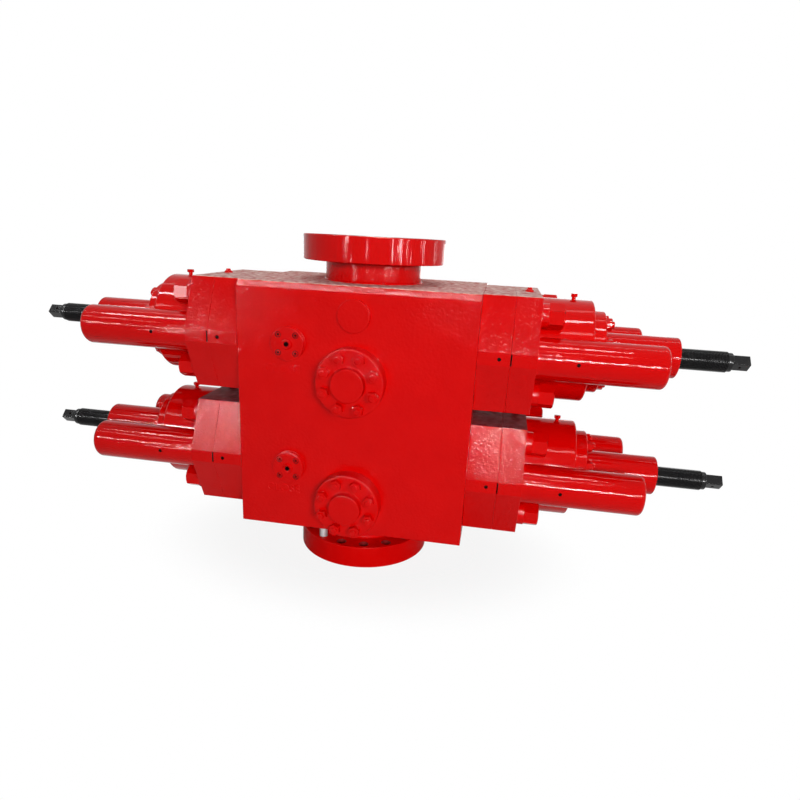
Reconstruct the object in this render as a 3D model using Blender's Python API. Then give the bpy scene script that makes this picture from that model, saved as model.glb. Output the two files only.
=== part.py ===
"""Double ram blowout preventer with sliding bonnets, in metres, at rest with every bonnet bolted shut.

The origin is the centre of the bottom flange's underside. X runs along the rams, the front faces -Y, Z is up.
Each of the four bonnets is built outwards along +X from the well's axis, and its empty turns it into place.
"""

import math

import bpy

# Gap that keeps two touching pieces apart
GAP = 0.0003

# Overlap that lets a cutter or a joined piece reach past a face
REACH = 0.02

# Well bore and end flanges, 13-5/8 inch 5,000 psi class
BORE_RADIUS = 0.17305
FLANGE_RADIUS = 0.33655
FLANGE_THICK = 0.1127
NECK_RADIUS = 0.230
GROOVE_OUTER = 0.2040
GROOVE_WIDE = 0.0200
GROOVE_DEEP = 0.0143
STUD_HOLE_RADIUS = 0.02225
STUD_CIRCLE_RADIUS = 0.2953
STUD_HOLES = 16
BOTTOM_NECK_LONG = 0.1073
TOP_NECK_LONG = 0.0908

# Body block, its ram cavities and their heights over the block's foot
BODY_HALF_X = 0.5406
BODY_HALF_Y = 0.3880
BODY_HIGH = 1.1636
BODY_CHAMFER = 0.0273
LOWER_RAM_RISE = 0.3137
RAM_SPACING = 0.5867
CAVITY_HALF_Y = 0.2150
CAVITY_HALF_Z = 0.0860
CAVITY_CORNER = 0.0800

# Side outlets, 4-1/16 inch 5,000 psi class, closed by blind flanges
OUTLET_DROP = 0.1490
OUTLET_BORE_RADIUS = 0.0515
OUTLET_RADIUS = 0.1556
OUTLET_PAD = 0.0200
BLIND_THICK = 0.0540
BLIND_HUB_RADIUS = 0.0750
BLIND_HUB_PROUD = 0.0400

# Hydraulic ports and the round plug
PORT_X = 0.2940
PORT_RADIUS = 0.0760
PORT_THICK = 0.0340
PORT_NOSE_RADIUS = 0.0260
PORT_NOSE_PROUD = 0.0120
PORT_HOLE_RADIUS = 0.0125
PORT_FLOOR = 0.0100
PLUG_RADIUS = 0.0725
PLUG_THICK = 0.0220
PLUG_RISE = 0.1382

# Outline across the ram axis that the intermediate flange and the bonnet share, and their thicknesses
OUTLINE_HALF_TOP = 0.2850
OUTLINE_HALF_HIGH = 0.2587
OUTLINE_PROUD = 0.0007
OUTLINE_HALF_FLAT = 0.0284
MIDDLE_THICK = 0.1420
BONNET_THICK = 0.1124
PRY_SLOT_WIDE = 0.0060
PRY_SLOT_HIGH = 0.0500
PRY_SLOT_DEEP = 0.0120

# Bonnet bolts. Their grip in the body is kept short, so that the walls round the ram cavities stay plain
BOLT_Y = 0.2320
BOLT_Z = 0.1770
BOLT_SHANK_RADIUS = 0.0325
BOLT_HOLE_CLEARANCE = 0.0040
BOLT_GRIP = 0.0090
BOLT_TIP_CLEARANCE = 0.0060
BOLT_COLLAR_RADIUS = 0.0543
BOLT_COLLAR_THICK = 0.0325
BOLT_HEAD_FLATS = 0.0980
BOLT_HEAD_LONG = 0.0670

# Cylinders that carry a bonnet out for a ram change, and their rods and pistons
CHANGE_RADIUS = 0.0920
CHANGE_EDGE = 0.0081
CHANGE_LONG = 0.5395
CHANGE_CHAMFER = 0.0160
CHANGE_CAP = 0.0300
CHAMBER_RADIUS = 0.0700
ROD_RADIUS = 0.0375
ROD_CLEARANCE = 0.0020
PISTON_LONG = 0.0600
PISTON_CLEARANCE = 0.0030
PISTON_END_CLEARANCE = 0.0050

# Operating cylinder, its head and the tube of the locking screw
DRUM_RADIUS = 0.2360
DRUM_LONG = 0.2435
HOLLOW_CLEARANCE = 0.0015
HEAD_RADIUS = 0.1900
HEAD_THICK = 0.0580
HOUSING_RADIUS = 0.0940
HOUSING_LONG = 0.3475

# Ram and its tail rod
RAM_SETBACK = 0.0120
RAM_CLEARANCE = 0.0050
TAIL_ROD_RADIUS = 0.0500
TAIL_CLEARANCE = 0.0030
TAIL_ROD_SHORT = 0.0100
PIPE_RADIUS = 0.0635

# Locking screw, the ring at the end of its thread and its square end, which stands on a corner
SCREW_RADIUS = 0.0480
SCREW_CLEARANCE = 0.0008
SCREW_INSIDE = 0.1800
SCREW_PROUD = 0.2210
SCREW_RING_RADIUS = 0.0435
SCREW_RING_LONG = 0.0190
SQUARE_HALF = 0.0255
SQUARE_LONG = 0.0760

# Sides of a circle, by size
ROUND_LARGE = 32
ROUND_DRUM = 20
ROUND_MEDIUM = 16
ROUND_SMALL = 8
CORNER_STEPS = 4

# Heights worked out from the sizes above
BODY_FOOT = FLANGE_THICK + BOTTOM_NECK_LONG
BODY_TOP = BODY_FOOT + BODY_HIGH
HEIGHT = BODY_TOP + TOP_NECK_LONG + FLANGE_THICK
LOWER_RAM = BODY_FOOT + LOWER_RAM_RISE
RAM_LEVELS = {"upper": LOWER_RAM + RAM_SPACING, "lower": LOWER_RAM}
OUTLET_LEVELS = {name: level - OUTLET_DROP for name, level in RAM_LEVELS.items()}

# Distances from the well's axis and across it, worked out from the sizes above
OUTLINE_HALF_WIDE = BODY_HALF_Y + OUTLINE_PROUD
MIDDLE_OUTER = BODY_HALF_X + MIDDLE_THICK
BONNET_FACE = MIDDLE_OUTER + BONNET_THICK
DRUM_END = BONNET_FACE + DRUM_LONG
HEAD_END = DRUM_END + HEAD_THICK
HOUSING_END = HEAD_END + HOUSING_LONG
CHANGE_END = BONNET_FACE + CHANGE_LONG
CHAMBER_END = CHANGE_END - CHANGE_CAP
PISTON_END = CHAMBER_END - PISTON_END_CLEARANCE
SCREW_SHOULDER = HOUSING_END + SCREW_PROUD
CHANGE_Y = OUTLINE_HALF_WIDE - CHANGE_EDGE - CHANGE_RADIUS

# Faces across the well, front at -1 and back at 1
FACES = ((-1, "front"), (1, "back"))

# Colour, roughness and metallic value of each finish
FINISHES = {
    "red_enamel": ((0.56, 0.012, 0.010, 1.0), 0.22, 0.0),
    "black_steel": ((0.030, 0.030, 0.032, 1.0), 0.45, 0.6),
    "bright_steel": ((0.60, 0.60, 0.62, 1.0), 0.18, 1.0),
    "ram_steel": ((0.30, 0.30, 0.31, 1.0), 0.35, 0.9),
}


def clear_scene():
    for thing in list(bpy.data.objects):
        bpy.data.objects.remove(thing)


def finish(name):
    """The material of a finish, made on its first use."""
    material = bpy.data.materials.get(name)
    if material:
        return material
    colour, roughness, metallic = FINISHES[name]
    material = bpy.data.materials.new(name)
    material.use_nodes = True
    shader = material.node_tree.nodes["Principled BSDF"]
    shader.inputs["Base Color"].default_value = colour
    shader.inputs["Roughness"].default_value = roughness
    shader.inputs["Metallic"].default_value = metallic
    material.diffuse_color = colour
    return material


def facing_out(points, faces):
    """The same faces, each turned round if together they enclose a negative volume."""
    volume = 0.0
    for face in faces:
        a = points[face[0]]
        for second, third in zip(face[1:-1], face[2:]):
            b = points[second]
            c = points[third]
            volume += a[0] * (b[1] * c[2] - b[2] * c[1])
            volume += a[1] * (b[2] * c[0] - b[0] * c[2])
            volume += a[2] * (b[0] * c[1] - b[1] * c[0])
    if volume < 0:
        faces = [tuple(reversed(face)) for face in faces]
    return points, faces


def placed(axis, along, first, second):
    """A point at a distance along an axis, with its two other coordinates in x, y, z order."""
    if axis == "x":
        return (along, first, second)
    if axis == "y":
        return (first, along, second)
    return (first, second, along)


def circle(radius, centre, sides, start=0.0):
    """The corners of a regular polygon, the first on the first other axis or turned from it by an angle."""
    turns = [start + 2 * math.pi * k / sides for k in range(sides)]
    return [(centre[0] + radius * math.cos(t), centre[1] + radius * math.sin(t)) for t in turns]


def prism(outline, axis, low, high):
    """A convex outline carried along an axis."""
    count = len(outline)
    points = [placed(axis, low, a, b) for a, b in outline]
    points += [placed(axis, high, a, b) for a, b in outline]
    faces = [tuple(range(count)), tuple(reversed(range(count, 2 * count)))]
    for i in range(count):
        j = (i + 1) % count
        faces.append((j, i, count + i, count + j))
    return facing_out(points, faces)


def cylinder(radius, axis, ends, centre, sides):
    """A plain cylinder between two ends in either order."""
    return prism(circle(radius, centre, sides), axis, min(ends), max(ends))


def turned(profile, axis, centre, sides):
    """A body turned from (radius, distance along the axis) pairs, solid if it starts and ends at radius 0."""
    points = []
    rows = []
    for radius, along in profile:
        corners = circle(radius, centre, sides) if radius else [centre]
        rows.append(range(len(points), len(points) + len(corners)))
        points += [placed(axis, along, a, b) for a, b in corners]
    pairs = list(zip(rows, rows[1:]))
    if len(rows[0]) > 1:
        pairs.append((rows[-1], rows[0]))
    faces = []
    for low, high in pairs:
        for k in range(sides):
            n = (k + 1) % sides
            if len(low) == 1:
                faces.append((low[0], high[n], high[k]))
            elif len(high) == 1:
                faces.append((low[k], low[n], high[0]))
            else:
                faces.append((low[k], low[n], high[n], high[k]))
    return facing_out(points, faces)


def together(shapes):
    """Several closed shapes that don't touch, as one mesh."""
    points = []
    faces = []
    for shape_points, shape_faces in shapes:
        start = len(points)
        points += shape_points
        faces += [tuple(start + i for i in face) for face in shape_faces]
    return points, faces


def ram_outline(clearance, level=0.0):
    """The rounded outline of a ram cavity, or of the ram that runs in it with a clearance."""
    half_y = CAVITY_HALF_Y - clearance
    half_z = CAVITY_HALF_Z - clearance
    corner = CAVITY_CORNER - clearance
    outline = []
    for side_y, side_z, start in ((1, 1, 0.0), (-1, 1, 0.5), (-1, -1, 1.0), (1, -1, 1.5)):
        for k in range(CORNER_STEPS + 1):
            turn = math.pi * (start + 0.5 * k / CORNER_STEPS)
            y = side_y * (half_y - corner) + corner * math.cos(turn)
            z = side_z * (half_z - corner) + corner * math.sin(turn)
            outline.append((y, level + z))
    return outline


def bonnet_outline():
    """The long octagon of the intermediate flange and the bonnet."""
    corners = [(OUTLINE_HALF_WIDE, OUTLINE_HALF_FLAT), (OUTLINE_HALF_TOP, OUTLINE_HALF_HIGH)]
    right = [(y, -z) for y, z in reversed(corners)] + corners
    return right + [(-y, z) for y, z in reversed(right)]


def bolt_centres(level=0.0):
    """Centres of a bonnet's four bolts across the ram axis."""
    return [(a * BOLT_Y, level + b * BOLT_Z) for a in (-1, 1) for b in (-1, 1)]


def made(name, shape, finish_name=None, parent=None):
    """The shape as an object. Without a finish it only cuts or joins, so it is left out of renders."""
    mesh = bpy.data.meshes.new(name)
    mesh.from_pydata(shape[0], [], shape[1])
    mesh.shade_smooth()
    mesh.set_sharp_from_angle(angle=math.radians(30))
    thing = bpy.data.objects.new(name, mesh)
    thing.parent = parent
    bpy.context.scene.collection.objects.link(thing)
    if finish_name:
        mesh.materials.append(finish(finish_name))
    else:
        thing.hide_render = True
        thing.display_type = "WIRE"
    return thing


def changed(thing, operation, label, shapes):
    """Cuts the shapes from the object, or joins them on, with a helper in the object's own frame."""
    helper = made(thing.name + "_" + label, together(shapes), parent=thing)
    step = thing.modifiers.new(label, "BOOLEAN")
    step.operation = operation
    step.solver = "EXACT"
    step.object = helper


def empty_at(name, place, turn):
    """An empty that carries the pieces of one assembly."""
    empty = bpy.data.objects.new(name, None)
    empty.location = place
    empty.rotation_euler = (0.0, 0.0, turn)
    bpy.context.scene.collection.objects.link(empty)
    return empty


def make_end_flange(name, face, inward, neck_end):
    """A studded end flange and its neck. Inward is 1 or -1 along Z, from the flange's face to the body."""
    back = face + inward * FLANGE_THICK
    groove = face + inward * GROOVE_DEEP
    profile = [
        (BORE_RADIUS, neck_end),
        (NECK_RADIUS, neck_end),
        (NECK_RADIUS, back),
        (FLANGE_RADIUS, back),
        (FLANGE_RADIUS, face),
        (GROOVE_OUTER, face),
        (GROOVE_OUTER, groove),
        (GROOVE_OUTER - GROOVE_WIDE, groove),
        (GROOVE_OUTER - GROOVE_WIDE, face),
        (BORE_RADIUS, face),
    ]
    flange = made(name, turned(profile, "z", (0.0, 0.0), ROUND_LARGE), "red_enamel")
    ends = (face - inward * REACH, back + inward * REACH)
    centres = []
    for k in range(STUD_HOLES):
        turn = 2 * math.pi * (k + 0.5) / STUD_HOLES
        centres.append((STUD_CIRCLE_RADIUS * math.cos(turn), STUD_CIRCLE_RADIUS * math.sin(turn)))
    holes = [cylinder(STUD_HOLE_RADIUS, "z", ends, centre, ROUND_SMALL) for centre in centres]
    changed(flange, "DIFFERENCE", "stud_holes", holes)


def make_body():
    """The forged block with its bore, ram cavities, outlets and the blind holes of the bonnet bolts."""
    inner = BODY_HALF_Y - BODY_CHAMFER
    back = [(BODY_HALF_Y, BODY_FOOT), (BODY_HALF_Y, BODY_TOP - BODY_CHAMFER), (inner, BODY_TOP)]
    outline = back + [(-y, z) for y, z in reversed(back)]
    body = made("body_block", prism(outline, "x", -BODY_HALF_X, BODY_HALF_X), "red_enamel")

    pads = []
    outlets = []
    pad_face = BODY_HALF_Y + OUTLET_PAD
    for level in OUTLET_LEVELS.values():
        for face, _ in FACES:
            ends = (face * (inner - REACH), face * pad_face)
            pads.append(cylinder(OUTLET_RADIUS, "y", ends, (0.0, level), ROUND_DRUM))
        ends = (-pad_face - REACH, pad_face + REACH)
        outlets.append(cylinder(OUTLET_BORE_RADIUS, "y", ends, (0.0, level), ROUND_MEDIUM))
    changed(body, "UNION", "outlet_pads", pads)

    ends = (BODY_FOOT - REACH, BODY_TOP + REACH)
    changed(body, "DIFFERENCE", "well_bore", [cylinder(BORE_RADIUS, "z", ends, (0.0, 0.0), ROUND_LARGE)])
    cavities = []
    holes = []
    for level in RAM_LEVELS.values():
        cavities.append(prism(ram_outline(0.0, level), "x", -BODY_HALF_X - REACH, BODY_HALF_X + REACH))
        for centre in bolt_centres(level):
            for side in (-1, 1):
                hole_end = BODY_HALF_X - BOLT_GRIP - BOLT_TIP_CLEARANCE
                ends = (side * hole_end, side * (BODY_HALF_X + REACH))
                radius = BOLT_SHANK_RADIUS + BOLT_HOLE_CLEARANCE
                holes.append(cylinder(radius, "x", ends, centre, ROUND_SMALL))
    changed(body, "DIFFERENCE", "ram_cavities", cavities)
    changed(body, "DIFFERENCE", "outlet_bores", outlets)
    changed(body, "DIFFERENCE", "bolt_holes", holes)


def make_outlets():
    """Blind flanges on the four side outlets."""
    for level_name, level in OUTLET_LEVELS.items():
        for face, face_name in FACES:
            start = face * (BODY_HALF_Y + OUTLET_PAD + GAP)
            front = start + face * BLIND_THICK
            hub = front + face * BLIND_HUB_PROUD
            profile = [
                (0, start),
                (OUTLET_RADIUS, start),
                (OUTLET_RADIUS, front),
                (BLIND_HUB_RADIUS, front),
                (BLIND_HUB_RADIUS, hub),
                (0, hub),
            ]
            name = "outlet_blind_" + level_name + "_" + face_name
            made(name, turned(profile, "y", (0.0, level), ROUND_DRUM), "red_enamel")


def make_ports():
    """Port flanges of the closing lines in front and of the opening lines behind, and the round plug."""
    for level_name, level in RAM_LEVELS.items():
        for face, face_name in FACES:
            start = face * (BODY_HALF_Y + GAP)
            front = start + face * PORT_THICK
            nose = front + face * PORT_NOSE_PROUD
            floor = start + face * PORT_FLOOR
            profile = [
                (0, start),
                (PORT_RADIUS, start),
                (PORT_RADIUS, front),
                (PORT_NOSE_RADIUS, front),
                (PORT_NOSE_RADIUS, nose),
                (PORT_HOLE_RADIUS, nose),
                (PORT_HOLE_RADIUS, floor),
                (0, floor),
            ]
            name = "port_" + level_name + "_" + face_name
            made(name, turned(profile, "y", (face * PORT_X, level), ROUND_MEDIUM), "red_enamel")
    start = -BODY_HALF_Y - GAP
    centre = (0.0, RAM_LEVELS["upper"] + PLUG_RISE)
    plug = cylinder(PLUG_RADIUS, "y", (start, start - PLUG_THICK), centre, ROUND_MEDIUM)
    made("round_plug", plug, "red_enamel")


def make_middle_flange(label, carrier):
    """The intermediate flange between the body and the bonnet."""
    ends = (BODY_HALF_X + GAP, MIDDLE_OUTER)
    flange = made("middle_flange_" + label, prism(bonnet_outline(), "x", *ends), "red_enamel", carrier)
    ends = (BODY_HALF_X - REACH, MIDDLE_OUTER + REACH)
    holes = [cylinder(TAIL_ROD_RADIUS + TAIL_CLEARANCE, "x", ends, (0.0, 0.0), ROUND_MEDIUM)]
    for y in (-CHANGE_Y, CHANGE_Y):
        holes.append(cylinder(ROD_RADIUS + ROD_CLEARANCE, "x", ends, (y, 0.0), ROUND_MEDIUM))
    for centre in bolt_centres():
        holes.append(cylinder(BOLT_SHANK_RADIUS + BOLT_HOLE_CLEARANCE, "x", ends, centre, ROUND_SMALL))
    changed(flange, "DIFFERENCE", "holes", holes)


def pry_slots(inner):
    """Cutters for the slots at the split line, one on each side, where a bar parts the two flanges."""
    half = PRY_SLOT_HIGH / 2
    slots = []
    for side in (-1, 1):
        floor = side * (OUTLINE_HALF_WIDE - PRY_SLOT_DEEP)
        mouth = side * (OUTLINE_HALF_WIDE + REACH)
        section = [(floor, -half), (mouth, -half), (mouth, half), (floor, half)]
        slots.append(prism(section, "x", inner - REACH, inner + PRY_SLOT_WIDE))
    return slots


def make_bonnet(label, carrier):
    """The bonnet with its four bolts, whose shanks run through the intermediate flange into the body."""
    inner = MIDDLE_OUTER + GAP
    bonnet = made("bonnet_" + label, prism(bonnet_outline(), "x", inner, BONNET_FACE), "red_enamel", carrier)
    ends = (inner - REACH, BONNET_FACE + REACH)
    holes = [cylinder(TAIL_ROD_RADIUS + TAIL_CLEARANCE, "x", ends, (0.0, 0.0), ROUND_MEDIUM)]
    for y in (-CHANGE_Y, CHANGE_Y):
        holes.append(cylinder(CHAMBER_RADIUS, "x", ends, (y, 0.0), ROUND_MEDIUM))
    changed(bonnet, "DIFFERENCE", "holes", holes)
    changed(bonnet, "DIFFERENCE", "pry_slots", pry_slots(inner))
    tip = BODY_HALF_X - BOLT_GRIP
    seat = BONNET_FACE - REACH
    collar = BONNET_FACE + BOLT_COLLAR_THICK
    head = collar + BOLT_HEAD_LONG
    profile = [
        (0, tip),
        (BOLT_SHANK_RADIUS, tip),
        (BOLT_SHANK_RADIUS, seat),
        (BOLT_COLLAR_RADIUS, seat),
        (BOLT_COLLAR_RADIUS, collar),
        (0, collar),
    ]
    shanks = [turned(profile, "x", centre, ROUND_SMALL) for centre in bolt_centres()]
    changed(bonnet, "UNION", "shanks", shanks)
    corner = BOLT_HEAD_FLATS / math.sqrt(3)
    ends = (BONNET_FACE, head)
    heads = [prism(circle(corner, centre, 6, math.pi / 6), "x", *ends) for centre in bolt_centres()]
    changed(bonnet, "UNION", "heads", heads)


def hollow_beside_change_cylinders(thing, start, end):
    """Cuts a piece back where the two ram-change cylinders pass it."""
    ends = (start - REACH, end + REACH)
    radius = CHANGE_RADIUS + HOLLOW_CLEARANCE
    hollows = [cylinder(radius, "x", ends, (y, 0.0), ROUND_MEDIUM) for y in (-CHANGE_Y, CHANGE_Y)]
    changed(thing, "DIFFERENCE", "hollows", hollows)


def make_operating_cylinder(label, carrier):
    """The drum of the ram's operating cylinder, hollowed beside the two ram-change cylinders."""
    start = BONNET_FACE + GAP
    bore = TAIL_ROD_RADIUS + TAIL_CLEARANCE
    profile = [(bore, start), (DRUM_RADIUS, start), (DRUM_RADIUS, DRUM_END), (bore, DRUM_END)]
    drum = turned(profile, "x", (0.0, 0.0), ROUND_DRUM)
    drum = made("operating_cylinder_" + label, drum, "red_enamel", carrier)
    hollow_beside_change_cylinders(drum, start, DRUM_END)


def make_screw_housing(label, carrier):
    """The cylinder's head with the tube that houses the locking screw."""
    bore = SCREW_RADIUS + SCREW_CLEARANCE
    profile = [
        (bore, DRUM_END + GAP),
        (HEAD_RADIUS, DRUM_END + GAP),
        (HEAD_RADIUS, HEAD_END),
        (HOUSING_RADIUS, HEAD_END),
        (HOUSING_RADIUS, HOUSING_END),
        (bore, HOUSING_END),
    ]
    housing = turned(profile, "x", (0.0, 0.0), ROUND_DRUM)
    housing = made("screw_housing_" + label, housing, "red_enamel", carrier)
    hollow_beside_change_cylinders(housing, DRUM_END + GAP, HEAD_END)


def make_change_cylinder(label, y, carrier):
    """A ram-change cylinder, open towards the chamber that runs on through the bonnet."""
    start = BONNET_FACE + GAP
    profile = [
        (0, start),
        (CHANGE_RADIUS, start),
        (CHANGE_RADIUS, CHANGE_END - CHANGE_CHAMFER),
        (CHANGE_RADIUS - CHANGE_CHAMFER, CHANGE_END),
        (0, CHANGE_END),
    ]
    shell = turned(profile, "x", (y, 0.0), ROUND_MEDIUM)
    shell = made("change_cylinder_" + label, shell, "red_enamel", carrier)
    chamber = cylinder(CHAMBER_RADIUS, "x", (start - REACH, CHAMBER_END), (y, 0.0), ROUND_MEDIUM)
    changed(shell, "DIFFERENCE", "chamber", [chamber])


def make_change_rod(label, y, carrier):
    """A ram-change rod, fixed to the body, with the piston that the cylinder slides over."""
    piston_start = PISTON_END - PISTON_LONG
    piston = CHAMBER_RADIUS - PISTON_CLEARANCE
    profile = [
        (0, BODY_HALF_X + GAP),
        (ROD_RADIUS, BODY_HALF_X + GAP),
        (ROD_RADIUS, piston_start),
        (piston, piston_start),
        (piston, PISTON_END),
        (0, PISTON_END),
    ]
    rod = turned(profile, "x", (y, 0.0), ROUND_SMALL)
    made("change_rod_" + label, rod, "bright_steel", carrier)


def make_ram(label, carrier):
    """The pipe ram, drawn back clear of the bore, and its tail rod through the bonnet."""
    block = prism(ram_outline(RAM_CLEARANCE), "x", BORE_RADIUS + RAM_SETBACK, BODY_HALF_X)
    ram = made("ram_" + label, block, "ram_steel", carrier)
    ends = (BODY_HALF_X - REACH, DRUM_END - TAIL_ROD_SHORT)
    changed(ram, "UNION", "tail_rod", [cylinder(TAIL_ROD_RADIUS, "x", ends, (0.0, 0.0), ROUND_MEDIUM)])
    ends = (-CAVITY_HALF_Z - REACH, CAVITY_HALF_Z + REACH)
    notch = cylinder(PIPE_RADIUS, "z", ends, (BORE_RADIUS + RAM_SETBACK, 0.0), ROUND_MEDIUM)
    changed(ram, "DIFFERENCE", "pipe_notch", [notch])


def make_locking_screw(label, carrier):
    """The locking screw, backed off, with the square end that a wrench turns."""
    tip = HOUSING_END - SCREW_INSIDE
    ring_end = SCREW_SHOULDER + SCREW_RING_LONG
    profile = [
        (0, tip),
        (SCREW_RADIUS, tip),
        (SCREW_RADIUS, SCREW_SHOULDER),
        (SCREW_RING_RADIUS, SCREW_SHOULDER),
        (SCREW_RING_RADIUS, ring_end),
        (0, ring_end),
    ]
    screw = turned(profile, "x", (0.0, 0.0), ROUND_MEDIUM)
    screw = made("locking_screw_" + label, screw, "black_steel", carrier)
    square = circle(SQUARE_HALF * math.sqrt(2), (0.0, 0.0), 4)
    changed(screw, "UNION", "square_end", [prism(square, "x", ring_end - REACH / 2, ring_end + SQUARE_LONG)])


def make_bonnet_assembly(label, level, turn):
    """One bonnet with all that rides on it, its locking screw, and the two rods that stay on the body."""
    carrier = empty_at("ram_axis_" + label, (0.0, 0.0, level), turn)
    make_middle_flange(label, carrier)
    make_bonnet(label, carrier)
    make_operating_cylinder(label, carrier)
    make_screw_housing(label, carrier)
    for face, face_name in FACES:
        y = face * CHANGE_Y * math.cos(turn)
        make_change_cylinder(label + "_" + face_name, y, carrier)
        make_change_rod(label + "_" + face_name, y, carrier)
    make_ram(label, carrier)
    make_locking_screw(label, carrier)


def main():
    clear_scene()
    make_end_flange("bottom_flange", 0.0, 1, BODY_FOOT - GAP)
    make_end_flange("top_flange", HEIGHT, -1, BODY_TOP + GAP)
    make_body()
    make_outlets()
    make_ports()
    for level_name, level in RAM_LEVELS.items():
        for turn, side_name in ((math.pi, "left"), (0.0, "right")):
            make_bonnet_assembly(level_name + "_" + side_name, level, turn)


main()
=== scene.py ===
"""Looks of the double ram blowout preventer: smooth enamelled castings, bolting, threads and rams.

X runs along the rams, the front faces -Y and Z is up, in metres. Each bonnet is shaped once, outwards along
+X from the well's axis, and placed four times.
"""

import math

import bpy
from mathutils import Matrix, Vector


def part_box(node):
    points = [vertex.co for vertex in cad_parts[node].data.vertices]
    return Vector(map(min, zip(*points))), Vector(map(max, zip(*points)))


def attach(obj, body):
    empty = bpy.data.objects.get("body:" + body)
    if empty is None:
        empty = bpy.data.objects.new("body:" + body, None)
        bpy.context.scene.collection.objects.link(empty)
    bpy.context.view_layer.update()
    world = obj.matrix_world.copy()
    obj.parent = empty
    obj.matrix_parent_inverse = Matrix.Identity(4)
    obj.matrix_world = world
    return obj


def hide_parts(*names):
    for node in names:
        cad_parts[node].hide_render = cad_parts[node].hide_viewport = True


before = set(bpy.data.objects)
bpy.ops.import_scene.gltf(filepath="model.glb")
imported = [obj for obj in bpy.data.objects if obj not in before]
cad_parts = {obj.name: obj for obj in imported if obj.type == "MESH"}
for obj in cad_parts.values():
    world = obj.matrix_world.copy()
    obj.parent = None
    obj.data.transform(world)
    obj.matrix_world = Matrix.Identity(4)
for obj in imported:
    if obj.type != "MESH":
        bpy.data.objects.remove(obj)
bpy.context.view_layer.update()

# Gap of touching pieces, reach of a cutter past a face, and how near to a size a face counts as on it
GAP = 0.0003
REACH = 0.02
NEAR = 0.001

# Levels, sides and faces that the pieces repeat over
LEVELS = ("upper", "lower")
SIDES = (("left", math.pi), ("right", 0.0))
FACES = ((-1, "front"), (1, "back"))


def middle(node):
    """Centre of a node's box."""
    low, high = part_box(node)
    return (low + high) / 2


# Stack sizes, read from the frame
FLANGE_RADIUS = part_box("bottom_flange")[1].x
BODY_HALF_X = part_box("body_block")[1].x
BODY_HALF_Y = -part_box("round_plug")[1].y - GAP
BODY_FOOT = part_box("body_block")[0].z
BODY_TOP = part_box("body_block")[1].z
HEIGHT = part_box("top_flange")[1].z
PAD_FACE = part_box("body_block")[1].y
RAM_LEVEL = {level: middle("ram_" + level + "_right").z for level in LEVELS}
OUTLET_LEVEL = {level: middle("outlet_blind_" + level + "_front").z for level in LEVELS}
OUTLET_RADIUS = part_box("outlet_blind_upper_front")[1].x
BLIND_HUB_END = -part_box("outlet_blind_upper_front")[0].y
PORT_X = middle("port_upper_back").x
PORT_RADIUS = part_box("port_upper_back")[1].x - PORT_X
PORT_NOSE_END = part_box("port_upper_back")[1].y
PLUG_LOW, PLUG_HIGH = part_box("round_plug")

# Bonnet sizes, read from the right side, where outwards is +X
PLATE_INNER_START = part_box("middle_flange_upper_right")[0].x
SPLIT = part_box("middle_flange_upper_right")[1].x
OUTLINE_HALF_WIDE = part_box("middle_flange_upper_right")[1].y
OUTLINE_HALF_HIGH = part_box("middle_flange_upper_right")[1].z - RAM_LEVEL["upper"]
DRUM_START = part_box("operating_cylinder_upper_right")[0].x
DRUM_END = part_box("operating_cylinder_upper_right")[1].x
DRUM_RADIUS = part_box("operating_cylinder_upper_right")[1].z - RAM_LEVEL["upper"]
BONNET_FACE = DRUM_START - GAP
BOLT_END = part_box("bonnet_upper_right")[1].x
HEAD_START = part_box("screw_housing_upper_right")[0].x
HEAD_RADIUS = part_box("screw_housing_upper_right")[1].z - RAM_LEVEL["upper"]
HOUSING_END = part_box("screw_housing_upper_right")[1].x
CHANGE_Y = middle("change_cylinder_upper_right_back").y
CHANGE_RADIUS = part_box("change_cylinder_upper_right_back")[1].y - CHANGE_Y
CHANGE_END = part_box("change_cylinder_upper_right_back")[1].x
PISTON_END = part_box("change_rod_upper_right_back")[1].x
RAM_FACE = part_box("ram_upper_right")[0].x
TAIL_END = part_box("ram_upper_right")[1].x
SCREW_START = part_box("locking_screw_upper_right")[0].x
SCREW_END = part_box("locking_screw_upper_right")[1].x
SCREW_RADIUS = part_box("locking_screw_upper_right")[1].y

# Sizes that the frame's boxes don't give
BORE_RADIUS = 0.17305
FLANGE_THICK = 0.1127
NECK_RADIUS = 0.230
GROOVE_OUTER = 0.2040
GROOVE_WIDE = 0.0200
GROOVE_DEEP = 0.0143
STUD_CIRCLE_RADIUS = 0.2953
STUD_HOLE_RADIUS = 0.02225
STUD_HOLES = 16
BODY_CHAMFER = 0.0273
CAVITY_HALF_Y = 0.2150
CAVITY_HALF_Z = 0.0860
CAVITY_CORNER = 0.0800
OUTLET_BORE_RADIUS = 0.0515
OUTLET_BOLT_CIRCLE = 0.12065
OUTLET_BOLTS = 8
BLIND_THICK = 0.0540
BLIND_HUB_RADIUS = 0.0750
PORT_THICK = 0.0340
PORT_NOSE_RADIUS = 0.0260
PORT_HOLE_RADIUS = 0.0125
OUTLINE_HALF_TOP = 0.2850
OUTLINE_HALF_FLAT = 0.0284
BOLT_Y = 0.2320
BOLT_Z = 0.1770
BOLT_SHANK_RADIUS = 0.0325
BOLT_HOLE_RADIUS = 0.0365
BOLT_GRIP = 0.1000
BOLT_COLLAR_RADIUS = 0.0543
BOLT_COLLAR_THICK = 0.0325
BOLT_HEAD_FLATS = 0.0980
TAIL_ROD_RADIUS = 0.0500
CHAMBER_RADIUS = 0.0700
CHANGE_CAP = 0.0300
CHANGE_ROUNDING = 0.0210
ROD_RADIUS = 0.0375
PISTON_LONG = 0.0600
PISTON_RADIUS = 0.0670
RAM_CLEARANCE = 0.0050
PIPE_RADIUS = 0.0635
HEAD_THICK = 0.0580
HEAD_END = HEAD_START + HEAD_THICK
HOUSING_RADIUS = 0.0940
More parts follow.
